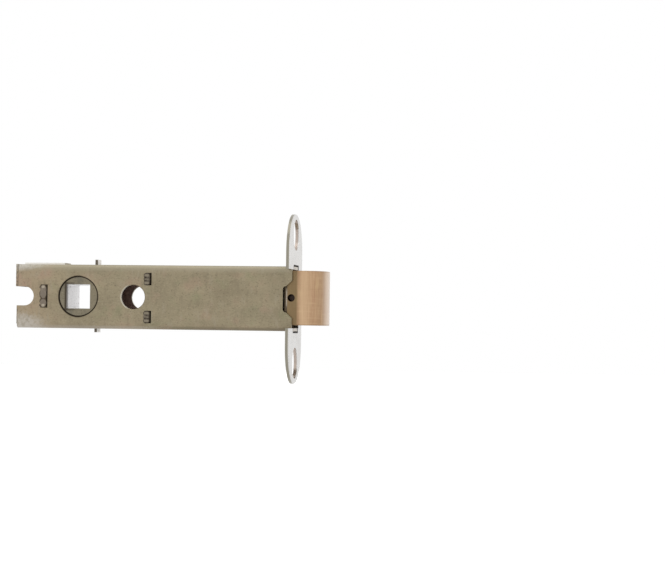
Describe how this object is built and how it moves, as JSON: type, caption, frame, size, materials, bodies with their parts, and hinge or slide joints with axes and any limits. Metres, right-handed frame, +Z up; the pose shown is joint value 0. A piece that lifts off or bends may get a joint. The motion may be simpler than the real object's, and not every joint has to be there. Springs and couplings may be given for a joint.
{
  "type": "tubular door latch",
  "caption": "Tubular mortice door latch: flat folded steel case, round-ended forend, bevelled spring latch bolt and square-spindle follower.",
  "frame": {"origin": "centre of the forend's front face, midway between its two screw holes", "axes": "+X out of the forend, the way the bolt shoots; +Z up the door's edge; Y across the door's thickness, along the spindle, with the curved side of the bolt at -Y"},
  "size_m": [0.1066, 0.0254, 0.0572],
  "materials": {
    "case_plated": "olive-yellow zinc passivate on folded steel sheet, satin",
    "forend_steel": "bright polished",
    "stake_steel": "plated, dulled where staked",
    "bolt_bronze": "satin bronze, brushed across the nose",
    "inner_steel": "zinc plated",
    "yoke_steel": "zinc plated",
    "follower_cast": "pressed metal with a dull passivate",
    "spring_wire": "bright drawn wire"
  },
  "bodies": {
    "case": {"case_channel": "case_plated", "back_cover": "case_plated", "forend_plate": "forend_steel", "bridge_plate": "stake_steel", "rear_spacer": "stake_steel", "lever_spring": "spring_wire"},
    "follower": {"follower": "follower_cast"},
    "yoke": {"draw_yoke": "yoke_steel", "bolt_spring": "spring_wire"},
    "bolt": {"latch_bolt": "bolt_bronze", "bolt_stem": "inner_steel", "bolt_pin": "inner_steel", "spring_plate": "inner_steel", "stem_clip": "inner_steel"}
  },
  "joints": [
    {"name": "follower_turn", "type": "hinge", "parent": "case", "child": "follower", "pos_m": [-0.0735, 0, 0], "axis": [0, -1, 0], "range_deg": [0, 62]},
    {"name": "yoke_draw", "type": "slide", "parent": "case", "child": "yoke", "axis": [-1, 0, 0], "range_m": [0, 0.011], "stiffness_N_per_m": 1200, "springref_m": -0.006, "deforming": ["lever_spring"]},
    {"name": "bolt_slide", "type": "slide", "parent": "yoke", "child": "bolt", "axis": [-1, 0, 0], "range_m": [0, 0.011], "stiffness_N_per_m": 250, "springref_m": -0.008, "deforming": ["bolt_spring"]}
  ],
  "couplings": [
    {"joint": "follower_turn", "follows": "yoke_draw", "rad_per_m": 97.262}
  ]
}
